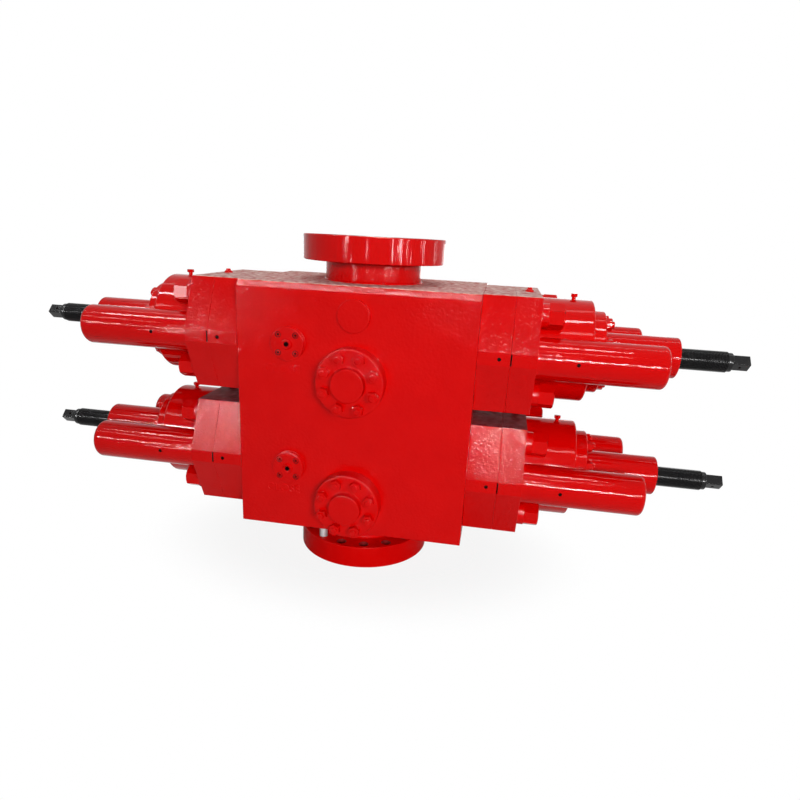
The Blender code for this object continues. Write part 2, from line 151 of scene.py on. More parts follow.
SCREW_RING_RADIUS = 0.0435
SCREW_RING_LONG = 0.0190
SQUARE_HALF = 0.0255
SQUARE_LONG = 0.0760
HOLLOW_CLEARANCE = 0.0015
TAIL_CLEARANCE = 0.0030
ROD_CLEARANCE = 0.0020
NECK_FILLET = 0.0100
RIM_FILLET = 0.0045
GROOVE_FILLET = 0.0008
GROOVE_SLOPE = 0.0055
STUD_HOLE_CHAMFER = 0.0025
BEAD_RADIUS = 0.0052
BEAD_RIPPLE = 0.0011
BOLT_TIP_CLEARANCE = 0.0060
PORT_SCREW_CIRCLE = 0.0565
PORT_RECESS_RADIUS = 0.0135
PORT_RECESS_DEEP = 0.0080
SOCKET_HEAD_RADIUS = 0.0105
SOCKET_FLATS = 0.0105
PLATE_CORNER = 0.0040
PLATE_SCREW_X = 0.6350
PLATE_SCREW_RADIUS = 0.0085
PLATE_SCREW_DEEP = 0.0080
PRY_SLOT_WIDE = 0.0060
PRY_SLOT_HALF_HIGH = 0.0250
PRY_SLOT_DEEP = 0.0120
HEAD_BOLTS = 8
HEAD_BOLT_CIRCLE = 0.1500
SIDE_HOLE_X = 0.9650
SIDE_HOLE_RADIUS = 0.0080
SIDE_HOLE_DEEP = 0.0060
SEAL_LONG = 0.0080
SEAL_DEEP = 0.0030
SEAL_PROUD = 0.0015
THREAD_START = 1.4000
THREAD_PITCH = 0.00635
SQUARE_CORNER = 0.0040
CROSS_HOLE_RADIUS = 0.0060
DOME_X = 0.7450
DOME_RADIUS = 0.0200
DOME_HIGH = 0.0200
VENT_X = 0.9490
LOOSE_STUD_HOLE = 10
LOOSE_STUD_RADIUS = 0.0203

# Nuts: across flats, radius of the stud, how far its end stands out, and the end's chamfer
OUTLET_NUT = (0.0480, 0.0150, 0.0395, 0.0040)
HEAD_NUT = (0.0500, 0.0155, 0.0410, 0.0030)
NUT_HIGH = 0.0300

# The raised words, and how far they stand aside of and below the port's middle
WORD_WIDE = 0.1660
WORD_HIGH = 0.0410
WORD_ASIDE = 0.0340
WORD_BELOW = 0.1190

# Rounding of cast and of machined edges
EDGE = 0.0035
FINE_EDGE = 0.0015

# Sides of a smooth circle, by size, and steps round a hexagon
LARGE = 128
MEDIUM = 72
SMALL = 32
HEX_STEPS = 48


def placed(axis, along, first, second):
    """A point at a distance along an axis, with its two other coordinates in x, y, z order."""
    if axis == "x":
        return (along, first, second)
    if axis == "y":
        return (first, along, second)
    return (first, second, along)


def facing_out(points, faces):
    """The same faces, each turned round if together they enclose a negative volume."""
    volume = 0.0
    for face in faces:
        a = Vector(points[face[0]])
        for second, third in zip(face[1:-1], face[2:]):
            volume += a.dot(Vector(points[second]).cross(Vector(points[third])))
    if volume < 0:
        faces = [tuple(reversed(face)) for face in faces]
    return points, faces


def ringed(rings, closed=False):
    """A body through rings of equally many points, capped at both ends or closed into a loop."""
    count = len(rings[0])
    points = [point for ring in rings for point in ring]
    pairs = list(zip(range(len(rings)), range(1, len(rings))))
    if closed:
        pairs.append((len(rings) - 1, 0))
    faces = []
    for low, high in pairs:
        for k in range(count):
            n = (k + 1) % count
            faces.append((low * count + k, low * count + n, high * count + n, high * count + k))
    if not closed:
        faces.append(tuple(reversed(range(count))))
        faces.append(tuple(range(len(points) - count, len(points))))
    return facing_out(points, faces)


def rounded(corners, closed=False, steps=4):
    """A path of (a, b) or (a, b, radius) corners as points, each radius turned into an arc."""
    points = []
    for i, corner in enumerate(corners):
        here = Vector(corner[:2])
        if len(corner) == 2 or not (closed or 0 < i < len(corners) - 1):
            points.append(tuple(here))
            continue
        first = (Vector(corners[i - 1][:2]) - here).normalized()
        second = (Vector(corners[(i + 1) % len(corners)][:2]) - here).normalized()
        half = first.angle(second) / 2
        centre = here + (first + second).normalized() * corner[2] / math.sin(half)
        start = here + first * corner[2] / math.tan(half) - centre
        end = here + second * corner[2] / math.tan(half) - centre
        turn = math.atan2(start.y, start.x)
        sweep = (math.atan2(end.y, end.x) - turn + math.pi) % (2 * math.pi) - math.pi
        for k in range(steps + 1):
            angle = turn + sweep * k / steps
            points.append(around(corner[2], angle, centre))
    return points


def turns_of(count, start=0.0):
    """Equally spaced angles round a full turn, the first one a share of a step on."""
    return [2 * math.pi * (k + start) / count for k in range(count)]


def around(radius, turn, centre=(0.0, 0.0)):
    """The point at a radius and an angle round a centre."""
    return centre[0] + radius * math.cos(turn), centre[1] + radius * math.sin(turn)


def circle(radius, centre, sides):
    """The corners of a regular polygon."""
    return [around(radius, turn, centre) for turn in turns_of(sides)]


def turned(profile, axis, centre=(0.0, 0.0), sides=MEDIUM):
    """A body turned from (radius, along) pairs: solid where it starts and ends at radius 0, else a ring."""
    solid = profile[0][0] == 0 and profile[-1][0] == 0
    rings = []
    for radius, along in profile[1:-1] if solid else profile:
        rings.append([placed(axis, along, a, b) for a, b in circle(radius, centre, sides)])
    return ringed(rings, closed=not solid)


def prism(outline, axis, low, high):
    """An outline carried along an axis."""
    rings = [[placed(axis, along, a, b) for a, b in outline] for along in (low, high)]
    return ringed(rings)


def hex_reach(flats, turn):
    """Distance from a hexagon's centre to its edge in one direction."""
    part = (turn + math.pi / 6) % (math.pi / 3) - math.pi / 6
    return flats / 2 / math.cos(part)


def hexagon(flats, low, high, axis, centre=(0.0, 0.0), turn=0.0, low_chamfer=False):
    """A nut or bolt head with its corners chamfered at the high end, and at the low end if asked."""
    face = 0.475 * flats
    slope = math.tan(math.radians(30)) * (1 if high > low else -1)

    def ring(reach_at, along_at):
        points = []
        for t in turns_of(HEX_STEPS):
            reach = reach_at(t)
            points.append(placed(axis, along_at(reach), *around(reach, t, centre)))
        return points

    def edge(t):
        return hex_reach(flats, t + turn)

    rings = []
    if low_chamfer:
        rings.append(ring(lambda t: face, lambda r: low))
        rings.append(ring(edge, lambda r: low + slope * (r - face)))
    else:
        rings.append(ring(edge, lambda r: low))
    rings.append(ring(edge, lambda r: high - slope * (r - face)))
    rings.append(ring(lambda t: face, lambda r: high))
    return ringed(rings)


def threaded(radius, pitch, low, high, axis, centre=(0.0, 0.0), depth=None, steps=40):
    """A cylinder with a helical thread of flat crests, its high end chamfered."""
    depth = depth or 0.55 * pitch
    # Share of the pitch and radius at each corner of one thread
    profile = ((0.00, radius - depth), (0.12, radius - depth), (0.44, radius), (0.68, radius))
    turns = math.ceil((high - low) / pitch) + 2
    points = []
    for k in range(turns * steps + 1):
        angle = 2 * math.pi * k / steps
        for share, reach in profile:
            along = low + pitch * (k / steps - 1 + share)
            along = min(max(along, low), high)
            reach = min(reach, radius - depth + high - along)
            points.append(placed(axis, along, *around(reach, angle, centre)))
    count = len(profile)
    faces = []
    for k in range(turns * steps):
        start = k * count
        for j in range(count - 1):
            faces.append((start + j, start + j + 1, start + count + j + 1, start + count + j))
        above = start + steps * count
        if above + count < len(points):
            faces.append((start + count - 1, above, above + count, start + 2 * count - 1))
    return points, faces


def together(*shapes):
    """Several shapes as one."""
    points = []
    faces = []
    for shape_points, shape_faces in shapes:
        start = len(points)
        points += shape_points
        faces += [tuple(start + i for i in face) for face in shape_faces]
    return points, faces


def mesh_of(name, shape, *materials):
    """A mesh with the materials given."""
    mesh = bpy.data.meshes.new(name)
    mesh.from_pydata(shape[0], [], shape[1])
    for material in materials:
        mesh.materials.append(material)
    return mesh


def object_of(name, data):
    """A new object in the scene."""
    thing = bpy.data.objects.new(name, data)
    bpy.context.scene.collection.objects.link(thing)
    return thing


def carved(name, shape, material, steps, edge=0.0):
    """A mesh with rounded edges, then cut or joined by (operation, shape, material) steps, in turn."""
    thing = object_of(name + "_work", mesh_of(name + "_work", shape, material))
    if edge:
        bevel = thing.modifiers.new("edges", "BEVEL")
        bevel.width = edge
        bevel.segments = 3
        bevel.limit_method = "ANGLE"
        bevel.angle_limit = math.radians(20)
    helpers = []
    for i, (operation, helper_shape, helper_material) in enumerate(steps):
        label = f"{name}_work_{i}"
        helper = object_of(label, mesh_of(label, helper_shape, helper_material))
        helpers.append(helper)
        step = thing.modifiers.new(f"step_{i}", "BOOLEAN")
        step.operation = operation
        step.solver = "EXACT"
        step.material_mode = "TRANSFER"
        step.object = helper
    graph = bpy.context.evaluated_depsgraph_get()
    mesh = bpy.data.meshes.new_from_object(thing.evaluated_get(graph))
    mesh.name = name
    for used in [thing] + helpers:
        bpy.data.objects.remove(used)
    return mesh


def smooth(mesh, degrees=32):
    """Smooth shading with sharp edges kept."""
    mesh.shade_smooth()
    mesh.set_sharp_from_angle(angle=math.radians(degrees))
    return mesh


def paint(mesh, material, test):
    """Gives a material to the faces whose centre and normal pass a test."""
    names = [slot.name for slot in mesh.materials]
    if material.name not in names:
        mesh.materials.append(material)
        names.append(material.name)
    index = names.index(material.name)
    for face in mesh.polygons:
        if test(face.center, face.normal):
            face.material_index = index


def piece(name, mesh, body, nodes=(), place=None, weighted=False):
    """A shown piece that rides on a body and stands for the nodes named."""
    thing = object_of(name, mesh)
    if place:
        thing.matrix_world = place
    if weighted:
        normals = thing.modifiers.new("flat faces stay flat", "WEIGHTED_NORMAL")
        normals.keep_sharp = True
    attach(thing, body)
    if nodes:
        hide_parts(*nodes)
    return thing


def mix_of(nodes, links, low, high, factor):
    """A colour mixed from two colours by a factor output."""
    mix = nodes.new("ShaderNodeMix")
    mix.data_type = "RGBA"
    mix.inputs["A"].default_value = (*low, 1.0)
    mix.inputs["B"].default_value = (*high, 1.0)
    links.new(factor, mix.inputs["Factor"])
    return mix.outputs["Result"]


def noise_of(nodes, links, source, scale, detail, stretch=(1.0, 1.0, 1.0)):
    """Noise in the piece's own metres, stretched where asked."""
    mapping = nodes.new("ShaderNodeMapping")
    mapping.inputs["Scale"].default_value = stretch
    links.new(source, mapping.inputs["Vector"])
    noise = nodes.new("ShaderNodeTexNoise")
    noise.inputs["Scale"].default_value = scale
    noise.inputs["Detail"].default_value = detail
    links.new(mapping.outputs["Vector"], noise.inputs["Vector"])
    return noise.outputs["Fac"]


def ranged(nodes, links, source, low, high, start=0.3, end=0.7, kind="LINEAR"):
    """A value brought from one range into another, by default from the middle range of noise."""
    step = nodes.new("ShaderNodeMapRange")
    step.interpolation_type = kind
    step.inputs["From Min"].default_value = start
    step.inputs["From Max"].default_value = end
    step.inputs["To Min"].default_value = low
    step.inputs["To Max"].default_value = high
    links.new(source, step.inputs["Value"])
    return step.outputs["Result"]


def bumped(nodes, links, source, distance, before):
    """A bump by the height given, over another bump if there is one."""
    bump = nodes.new("ShaderNodeBump")
    bump.inputs["Distance"].default_value = distance
    bump.inputs["Strength"].default_value = 1.0
    links.new(source, bump.inputs["Height"])
    if before:
        links.new(before, bump.inputs["Normal"])
    return bump.outputs["Normal"]


def new_material(name):
    """A material with its nodes, links and shader."""
    made = bpy.data.materials.new(name)
    made.use_nodes = True
    tree = made.node_tree
    return made, tree.nodes, tree.links, tree.nodes["Principled BSDF"]


def surface(name, colours, roughness, metallic=0.0, shine=0.5, bumps=(), colour_scale=9.0):
    """A material of two colours and roughness values mixed by noise, with (scale, height, stretch) bumps."""
    made, nodes, links, shader = new_material(name)
    place = nodes.new("ShaderNodeTexCoord").outputs["Object"]
    shader.inputs["Metallic"].default_value = metallic
    shader.inputs["Specular IOR Level"].default_value = shine
    patches = noise_of(nodes, links, place, colour_scale, detail=3.0)
    share = ranged(nodes, links, patches, 0.0, 1.0)
    links.new(mix_of(nodes, links, colours[0], colours[1], share), shader.inputs["Base Color"])
    wear = noise_of(nodes, links, place, WEAR_SCALE, detail=3.0)
    links.new(ranged(nodes, links, wear, *roughness), shader.inputs["Roughness"])
    normal = None
    for scale, distance, stretch in bumps:
        height = noise_of(nodes, links, place, scale, detail=1.0, stretch=stretch)
        normal = bumped(nodes, links, height, distance, normal)
    if normal:
        links.new(normal, shader.inputs["Normal"])
    return made


# Scale of the wear in the roughness, and bumps as (scale, height in metres, stretch)
WEAR_SCALE = 30.0
EVEN = (1.0, 1.0, 1.0)
UPRIGHT = (1.0, 1.0, 0.06)
ORANGE_PEEL = (82.0, 0.0015, EVEN)
TUBE_PEEL = (70.0, 0.0006, EVEN)
WAVINESS = (14.0, 0.0012, EVEN)
RIM_STREAKS = (70.0, 0.0011, UPRIGHT)
DUST = (90.0, 0.0008, EVEN)
TOOL_MARKS = (220.0, 0.0002, EVEN)

REDS = ((0.620, 0.0004, 0.0004), (0.660, 0.0012, 0.0010))
GLOSS = (0.04, 0.09)
enamel = surface("enamel", REDS, GLOSS, shine=0.07, bumps=(WAVINESS, ORANGE_PEEL))
enamel_turned = surface("enamel_turned", REDS, GLOSS, shine=0.07, bumps=(WAVINESS,))
enamel_tube = surface("enamel_tube", REDS, GLOSS, shine=0.07, bumps=(WAVINESS, TUBE_PEEL))
enamel_rim = surface("enamel_rim", REDS, (0.04, 0.08), shine=0.07, bumps=(RIM_STREAKS,))
enamel_dull = surface("enamel_dull", REDS, (0.5, 0.7), shine=0.0)
# Painted shade: a darker red for the walls of the flanges' stud holes, standing for the shade that falls in
# them
stud_hole_painted_shade = surface("stud_hole_painted_shade", ((0.16, 0.002, 0.002), (0.26, 0.004, 0.004)), (0.35, 0.55), shine=0.2)
blackened = surface("blackened", ((0.006, 0.006, 0.007), (0.012, 0.011, 0.011)), (0.12, 0.26), shine=0.20)
machined = surface("machined", ((0.17, 0.165, 0.16), (0.25, 0.245, 0.24)), (0.28, 0.42), metallic=0.95,
                   bumps=(TOOL_MARKS,))
greased = surface("greased", ((0.10, 0.095, 0.09), (0.17, 0.16, 0.15)), (0.25, 0.5), metallic=0.8)
chromed = surface("chromed", ((0.60, 0.60, 0.61), (0.66, 0.66, 0.67)), (0.08, 0.14), metallic=1.0)
rubber = surface("rubber", ((0.012, 0.012, 0.012), (0.02, 0.02, 0.02)), (0.5, 0.65), shine=0.3)
zinc = surface("zinc", ((0.42, 0.42, 0.43), (0.60, 0.60, 0.60)), (0.35, 0.5), metallic=0.7)
# Dust and painted sheen: red mottled with pale grey-beige for upward faces, partly dust and partly a painted
# grazing reflection; it has no gloss of its own
dust_and_painted_sheen = surface("dust_and_painted_sheen", ((0.50, 0.07, 0.065), (0.88, 0.74, 0.68)), (0.5, 0.7), shine=0.0,
                 bumps=(DUST,), colour_scale=34.0)
# Painted shade: a dark mottled red for the tops of the lower bonnets, which lie in the shade of the upper
# ones
lower_top_painted_shade = surface("lower_top_painted_shade", ((0.16, 0.005, 0.008), (0.28, 0.04, 0.045)), (0.40, 0.65), shine=0.04,
                colour_scale=26.0)
# Painted shade: a near-black red for holes, sockets, slots and recesses, where shade falls
recess_painted_shade = surface("recess_painted_shade", ((0.008, 0.002, 0.002), (0.016, 0.003, 0.003)), (0.5, 0.6), shine=0.02)


def rod(radius, axis, low, high, centre=(0.0, 0.0), sides=MEDIUM, chamfer=0.0):
    """A solid cylinder, with chamfered ends if asked."""
    way = 1 if high > low else -1
    profile = [(0, low), (radius - chamfer, low)]
    if chamfer:
        profile += [(radius, low + way * chamfer), (radius, high - way * chamfer)]
    profile += [(radius - chamfer, high), (0, high)]
    return turned(profile, axis, centre, sides)


def nut_ring(nut, count, radius, axis, seat, way, level=0.0):
    """Nuts with their stud ends, spaced on a bolt circle."""
    flats, stud_radius, stud_end, chamfer = nut
    shapes = []
    for turn in turns_of(count, 0.5):
        centre = around(radius, turn, (0.0, level))
        shapes.append(hexagon(flats, seat - way * NEAR, seat + way * NUT_HIGH, axis, centre, turn=-turn))
        shapes.append(rod(stud_radius, axis, seat, seat + way * stud_end, centre, SMALL, chamfer))
    return together(*shapes)


def stud_hole_cutters(face, inward):
    """Cutters for a flange's stud holes, countersunk at both ends."""
    back = face + inward * FLANGE_THICK
    wide = STUD_HOLE_RADIUS + STUD_HOLE_CHAMFER + REACH
    profile = [
        (0, face - inward * REACH),
        (wide, face - inward * REACH),
        (STUD_HOLE_RADIUS, face + inward * STUD_HOLE_CHAMFER),
        (STUD_HOLE_RADIUS, back - inward * STUD_HOLE_CHAMFER),
        (wide, back + inward * REACH),
        (0, back + inward * REACH),
    ]
    cutters = []
    for turn in turns_of(STUD_HOLES, 0.5):
        cutters.append(turned(profile, "z", around(STUD_CIRCLE_RADIUS, turn), SMALL))
    return together(*cutters)


def make_end_flange(where, face, inward, neck_end):
    """An end flange with a ring groove, a filleted neck and countersunk stud holes."""
    back = face + inward * FLANGE_THICK
    groove = face + inward * GROOVE_DEEP
    corners = [
        (BORE_RADIUS, neck_end),
        (NECK_RADIUS, neck_end),
        (NECK_RADIUS, back, NECK_FILLET),
        (FLANGE_RADIUS, back, RIM_FILLET),
        (FLANGE_RADIUS, face, RIM_FILLET),
        (GROOVE_OUTER, face),
        (GROOVE_OUTER - GROOVE_SLOPE, groove, GROOVE_FILLET),
        (GROOVE_OUTER - GROOVE_WIDE + GROOVE_SLOPE, groove, GROOVE_FILLET),
        (GROOVE_OUTER - GROOVE_WIDE, face),
        (BORE_RADIUS, face, 0.003),
    ]
    shape = turned(rounded(corners, closed=True), "z", sides=LARGE)
    name = where + "_end_flange"
    # The stud holes' walls take the cutters' darker red, as painted shade
    mesh = carved(name, shape, enamel, [("DIFFERENCE", stud_hole_cutters(face, inward), stud_hole_painted_shade)])

    def is_bare(centre, normal):
        reach = math.hypot(centre.x, centre.y)
        in_groove = abs(centre.z - face) < GROOVE_DEEP + NEAR
        return reach < GROOVE_OUTER + 4 * NEAR and (in_groove or reach < BORE_RADIUS + 2 * NEAR)

    paint(mesh, enamel_rim, lambda centre, normal: math.hypot(centre.x, centre.y) > FLANGE_RADIUS - NEAR)
    paint(mesh, enamel_dull, lambda centre, normal: abs(centre.z - face) < NEAR / 2)
    paint(mesh, machined, is_bare)
    piece(name, smooth(mesh), "stack", [where + "_flange"], weighted=True)


def make_weld_bead(name, height):
    """The weld round a neck where it meets the body, laid in short steps."""
    steps, sides, ripples = 160, 10, 40
    rings = []
    for turn in turns_of(steps):
        thick = BEAD_RADIUS + BEAD_RIPPLE * math.cos(turn * ripples)
        ring = []
        for part in turns_of(sides):
            reach, rise = around(thick, part, (NECK_RADIUS + NEAR, height))
            ring.append(placed("z", rise, *around(reach, turn)))
        rings.append(ring)
    piece(name, smooth(mesh_of(name, ringed(rings, closed=True), enamel), degrees=60), "stack")


def cavity_outline(clearance=0.0, level=0.0):
    """The rounded outline of a ram cavity, or of the ram in it with a clearance."""
    half_y = CAVITY_HALF_Y - clearance
    half_z = CAVITY_HALF_Z - clearance
    corner = CAVITY_CORNER - clearance
    corners = [(half_y, level - half_z, corner), (half_y, level + half_z, corner),
               (-half_y, level + half_z, corner), (-half_y, level - half_z, corner)]
    return rounded(corners, closed=True, steps=10)


def bolt_centres(level=0.0):
    """Where a bonnet's four bolts stand."""
    return [(a * BOLT_Y, level + b * BOLT_Z) for a in (-1, 1) for b in (-1, 1)]


def make_body():
    """The forged body with outlet pads, well bore, ram cavities, outlet bores and deep bolt holes."""
    inner = BODY_HALF_Y - BODY_CHAMFER
    back = [(BODY_HALF_Y, BODY_FOOT), (BODY_HALF_Y, BODY_TOP - BODY_CHAMFER), (inner, BODY_TOP)]
    outline = back + [(-y, z) for y, z in reversed(back)]
    pads = []
    outlets = []
    for level in OUTLET_LEVEL.values():
        for face in (-1, 1):
            ends = (face * (inner - REACH), face * PAD_FACE)
            pads.append(rod(OUTLET_RADIUS, "y", *ends, (0.0, level), LARGE, chamfer=0.002))
        outlets.append(rod(OUTLET_BORE_RADIUS, "y", -PAD_FACE - REACH, PAD_FACE + REACH, (0.0, level)))
    bore = rod(BORE_RADIUS, "z", BODY_FOOT - REACH, BODY_TOP + REACH, sides=LARGE)
    cavities = []
    holes = []
    for level in RAM_LEVEL.values():
        cavities.append(prism(cavity_outline(0.0, level), "x", -BODY_HALF_X - REACH, BODY_HALF_X + REACH))
        for centre in bolt_centres(level):
            for side in (-1, 1):
                ends = (side * (BODY_HALF_X - BOLT_GRIP - BOLT_TIP_CLEARANCE), side * (BODY_HALF_X + REACH))
                holes.append(rod(BOLT_HOLE_RADIUS, "x", *ends, centre, SMALL))
    steps = [
        ("UNION", together(*pads), enamel),
        ("DIFFERENCE", bore, greased),
        ("DIFFERENCE", together(*cavities), machined),
        ("DIFFERENCE", together(*outlets), greased),
        ("DIFFERENCE", together(*holes), machined),
    ]
    mesh = carved("body_shell", prism(outline, "x", -BODY_HALF_X, BODY_HALF_X), enamel, steps, EDGE)
    # The top face gets the dust with its painted sheen
    paint(mesh, dust_and_painted_sheen, lambda centre, normal: normal.z > 0.3 and centre.z > BODY_TOP - EDGE)
    piece("body_shell", smooth(mesh), "stack", ["body_block"], weighted=True)


def make_outlets():
    """Blind flanges with a stepped hub, and their nuts and stud ends."""
    for level_name, level in OUTLET_LEVEL.items():
        for face, face_name in FACES:
            label = level_name + "_" + face_name
            start = face * (PAD_FACE + GAP)
            front = start + face * BLIND_THICK
            hub = face * BLIND_HUB_END
            corners = [
                (0, start),
                (OUTLET_RADIUS, start),
                (OUTLET_RADIUS, front, 0.009),
                (BLIND_HUB_RADIUS, front, 0.008),
                (BLIND_HUB_RADIUS, hub, 0.005),
                (0, hub),
            ]
            flange = turned(rounded(corners), "y", (0.0, level), LARGE)
            nuts = nut_ring(OUTLET_NUT, OUTLET_BOLTS, OUTLET_BOLT_CIRCLE, "y", front, face, level)
            for name, shape in (("blind_flange_" + label, flange), ("outlet_nuts_" + label, nuts)):
                mesh = smooth(mesh_of(name, shape, enamel))
                piece(name, mesh, "stack", ["outlet_blind_" + label], weighted=True)


def make_ports():
    """Port flanges with a grooved rim, a drilled nose and four socket screws."""
    for level_name, level in RAM_LEVEL.items():
        for face, face_name in FACES:
            label = level_name + "_" + face_name
            start = face * (BODY_HALF_Y + GAP)
            front = start + face * PORT_THICK
            floor = start + face * 0.010
            nose = face * PORT_NOSE_END
            centre = (face * PORT_X, level)
            groove = PORT_RADIUS - 0.006
            thread = PORT_HOLE_RADIUS - 0.0015
            corners = [
                (0, start),
                (PORT_RADIUS, start),
                (PORT_RADIUS, start + face * 0.011, 0.0015),
                (groove, start + face * 0.013, 0.0008),
                (groove, start + face * 0.018, 0.0008),
                (PORT_RADIUS, start + face * 0.020, 0.0015),
                (PORT_RADIUS, front, 0.004),
                (PORT_NOSE_RADIUS, front, 0.001),
                (PORT_NOSE_RADIUS - 0.005, nose, 0.002),
                (PORT_HOLE_RADIUS + 0.003, nose, 0.001),
                (thread, nose - face * 0.004),
                (thread, floor),
                (0, floor),
            ]
            recesses = []
            screws = []
            bottom = front - face * PORT_RECESS_DEEP
            for turn in turns_of(4, 0.5):
                spot = around(PORT_SCREW_CIRCLE, turn, centre)
                recesses.append(rod(PORT_RECESS_RADIUS, "y", bottom, front + face * REACH, spot, SMALL))
                screws.append(socket_screw(bottom, front + face * 0.0005, spot))
            shape = turned(rounded(corners), "y", centre, LARGE)
            # The screw recesses are near-black, as painted shade
            steps = [("DIFFERENCE", together(*recesses), recess_painted_shade)]
            plate = carved("port_plate_" + label, shape, enamel, steps)

            def in_hole(point, normal, centre=centre):
                return math.dist((point.x, point.z), centre) < PORT_HOLE_RADIUS + NEAR / 2

            def in_socket(point, normal, front=front):
                return abs(point.y - front) > 0.0012

            # The drilled hole and the screws' sockets and sides are near-black, as painted shade
            paint(plate, recess_painted_shade, in_hole)
            heads = mesh_of("port_screws_" + label, together(*screws), enamel)
            paint(heads, recess_painted_shade, in_socket)
            for mesh in (plate, heads):
                piece(mesh.name, smooth(mesh), "stack", ["port_" + label], weighted=True)


def socket_screw(low, high, centre):
    """A round screw head with a hexagon socket, along Y."""
    way = 1 if high > low else -1

    def ring(reach_at, along):
        return [placed("y", along, *around(reach_at(t), t, centre)) for t in turns_of(HEX_STEPS)]

    rings = [
        ring(lambda t: SOCKET_HEAD_RADIUS, low),
        ring(lambda t: SOCKET_HEAD_RADIUS, high - way * 0.0025),
        ring(lambda t: 0.0098, high - way * 0.0008),
        ring(lambda t: 0.0082, high),
        ring(lambda t: hex_reach(SOCKET_FLATS, t), high),
        ring(lambda t: hex_reach(SOCKET_FLATS, t), high - way * 0.0060),
    ]
    return ringed(rings)


def make_plug():
    """The plain round plug near the top of the front face."""
    centre = ((PLUG_LOW.x + PLUG_HIGH.x) / 2, (PLUG_LOW.z + PLUG_HIGH.z) / 2)
    radius = PLUG_HIGH.x
    corners = [(0, PLUG_HIGH.y), (radius, PLUG_HIGH.y), (radius, PLUG_LOW.y, 0.004), (0, PLUG_LOW.y)]
    mesh = mesh_of("plug_disc", turned(rounded(corners), "y", centre, LARGE), enamel)
    piece("plug_disc", smooth(mesh), "stack", ["round_plug"], weighted=True)


def make_word(name, text, place):
    """A raised word on the front face, brought to its width and height."""
    curve = bpy.data.curves.new(name, "FONT")
    curve.body = text
    curve.size = WORD_HIGH
    curve.extrude = 0.0026
    curve.bevel_depth = 0.0010
    curve.align_x = "CENTER"
    curve.align_y = "CENTER"
    word = object_of(name + "_curve", curve)
    graph = bpy.context.evaluated_depsgraph_get()
    mesh = bpy.data.meshes.new_from_object(word.evaluated_get(graph))
    bpy.data.objects.remove(word)
    mesh.materials.clear()
    mesh.materials.append(enamel)
    for axis, size in ((0, WORD_WIDE), (1, WORD_HIGH)):
        low = min(vertex.co[axis] for vertex in mesh.vertices)
        reach = max(vertex.co[axis] for vertex in mesh.vertices) - low
        for vertex in mesh.vertices:
            vertex.co[axis] = (vertex.co[axis] - low - reach / 2) * size / reach
    piece(name, mesh, "stack", place=Matrix.Translation(place) @ Matrix.Rotation(math.pi / 2, 4, "X"))


def plate_outline():
    """The long octagon across the ram axis, with eased corners."""
    half = [(OUTLINE_HALF_WIDE, OUTLINE_HALF_FLAT), (OUTLINE_HALF_TOP, OUTLINE_HALF_HIGH)]
    right = [(y, -z) for y, z in reversed(half)] + half
    corners = right + [(-y, -z) for y, z in right]
    return rounded([(y, z, PLATE_CORNER) for y, z in corners], closed=True, steps=5)


def plate_mesh(name, start, end, beside, bolt, marks, top, is_bare):
    """A plate across the ram axis, bored for the tail rod, for what runs beside it and for the bolts."""
    ends = (start - REACH, end + REACH)
    holes = [rod(TAIL_ROD_RADIUS + TAIL_CLEARANCE, "x", *ends)]
    holes += [rod(beside, "x", *ends, (y, 0.0)) for y in (-CHANGE_Y, CHANGE_Y)]
    holes += [rod(bolt, "x", *ends, centre, SMALL) for centre in bolt_centres()]
    # The side screw holes and pry slots are near-black, as painted shade
    steps = [("DIFFERENCE", together(*holes), machined), ("DIFFERENCE", together(*marks), recess_painted_shade)]
    mesh = carved(name, prism(plate_outline(), "x", start, end), enamel, steps, FINE_EDGE)
    upper_edge = OUTLINE_HALF_HIGH - FINE_EDGE - NEAR / 10
    paint(mesh, machined, is_bare)
    # The top face takes the given top material: dust with painted sheen, or a darker red as painted shade
    paint(mesh, top, lambda centre, normal: normal.z > 0.3 and centre.z > upper_edge)
    return smooth(mesh)


def inner_plate_mesh(top):
    """The intermediate flange, with a small screw hole in each side."""
    screws = []
    for side in (-1, 1):
        ends = (side * (OUTLINE_HALF_WIDE - PLATE_SCREW_DEEP), side * (OUTLINE_HALF_WIDE + REACH))
        screws.append(rod(PLATE_SCREW_RADIUS, "y", *ends, (PLATE_SCREW_X, 0.0), SMALL))
    return plate_mesh("inner_plate", PLATE_INNER_START, SPLIT, ROD_RADIUS + ROD_CLEARANCE, BOLT_HOLE_RADIUS,
                      screws, top, lambda centre, normal: abs(normal.x) > 0.99)


def bonnet_plate_mesh(top):
    """The bonnet's plate, with the slots where a bar parts it from the intermediate flange."""
    slots = []
    for side in (-1, 1):
        floor = side * (OUTLINE_HALF_WIDE - PRY_SLOT_DEEP)
        mouth = side * (OUTLINE_HALF_WIDE + REACH)
        section = [(floor, -PRY_SLOT_HALF_HIGH), (mouth, -PRY_SLOT_HALF_HIGH),
                   (mouth, PRY_SLOT_HALF_HIGH), (floor, PRY_SLOT_HALF_HIGH)]
        slots.append(prism(section, "x", SPLIT - REACH, SPLIT + PRY_SLOT_WIDE))
    return plate_mesh("bonnet_plate", SPLIT + GAP, BONNET_FACE, CHAMBER_RADIUS, BOLT_SHANK_RADIUS + NEAR,
                      slots, top, lambda centre, normal: normal.x < -0.99)


